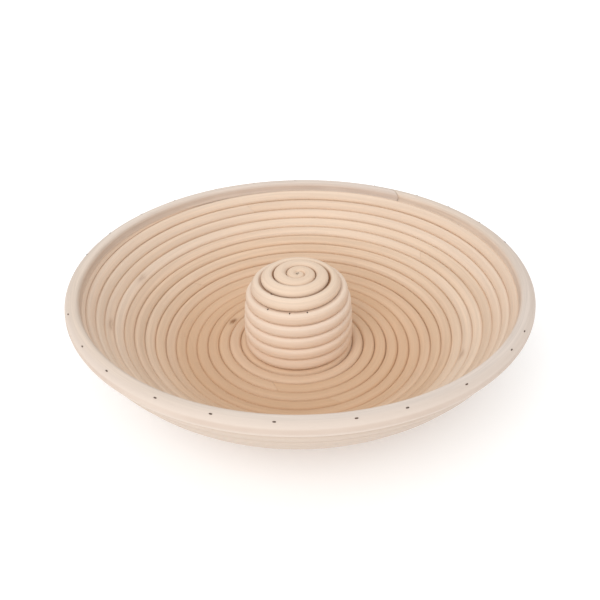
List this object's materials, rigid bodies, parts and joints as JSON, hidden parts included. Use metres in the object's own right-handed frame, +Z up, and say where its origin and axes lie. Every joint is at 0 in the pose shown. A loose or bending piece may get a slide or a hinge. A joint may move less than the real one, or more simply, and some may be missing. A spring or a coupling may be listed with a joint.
{
  "type": "banneton basket",
  "caption": "Round ring-shaped proving basket of coiled rattan cane with a domed hub in the middle and a heavier cane hoop as the rim.",
  "frame": {"origin": "centre of the underside, on the surface that the basket stands on", "axes": "+Z up through the hub and out of the open top; -Y towards the viewer, where the spiral leaves the hub for the trough; +X to the viewer's right"},
  "size_m": [0.32, 0.32, 0.077],
  "materials": {
    "cane": "matte raw rattan cane",
    "rim_cane": "matte raw rattan cane, paler",
    "pins": "dull, darkened wire"
  },
  "bodies": {
    "root": {"hub_crown_cane": "cane", "hub_wall_cane": "cane", "trough_inner_cane": "cane", "trough_middle_cane": "cane", "trough_outer_cane": "cane", "wall_cane_1": "cane", "wall_cane_2": "cane", "wall_cane_3": "cane", "wall_cane_4": "cane", "wall_cane_5": "cane", "top_cane": "cane", "tail_cane": "cane", "rim_hoop": "rim_cane", "hub_pins": "pins", "trough_pins": "pins", "wall_pins": "pins", "rim_nails": "pins"}
  },
  "joints": []
}
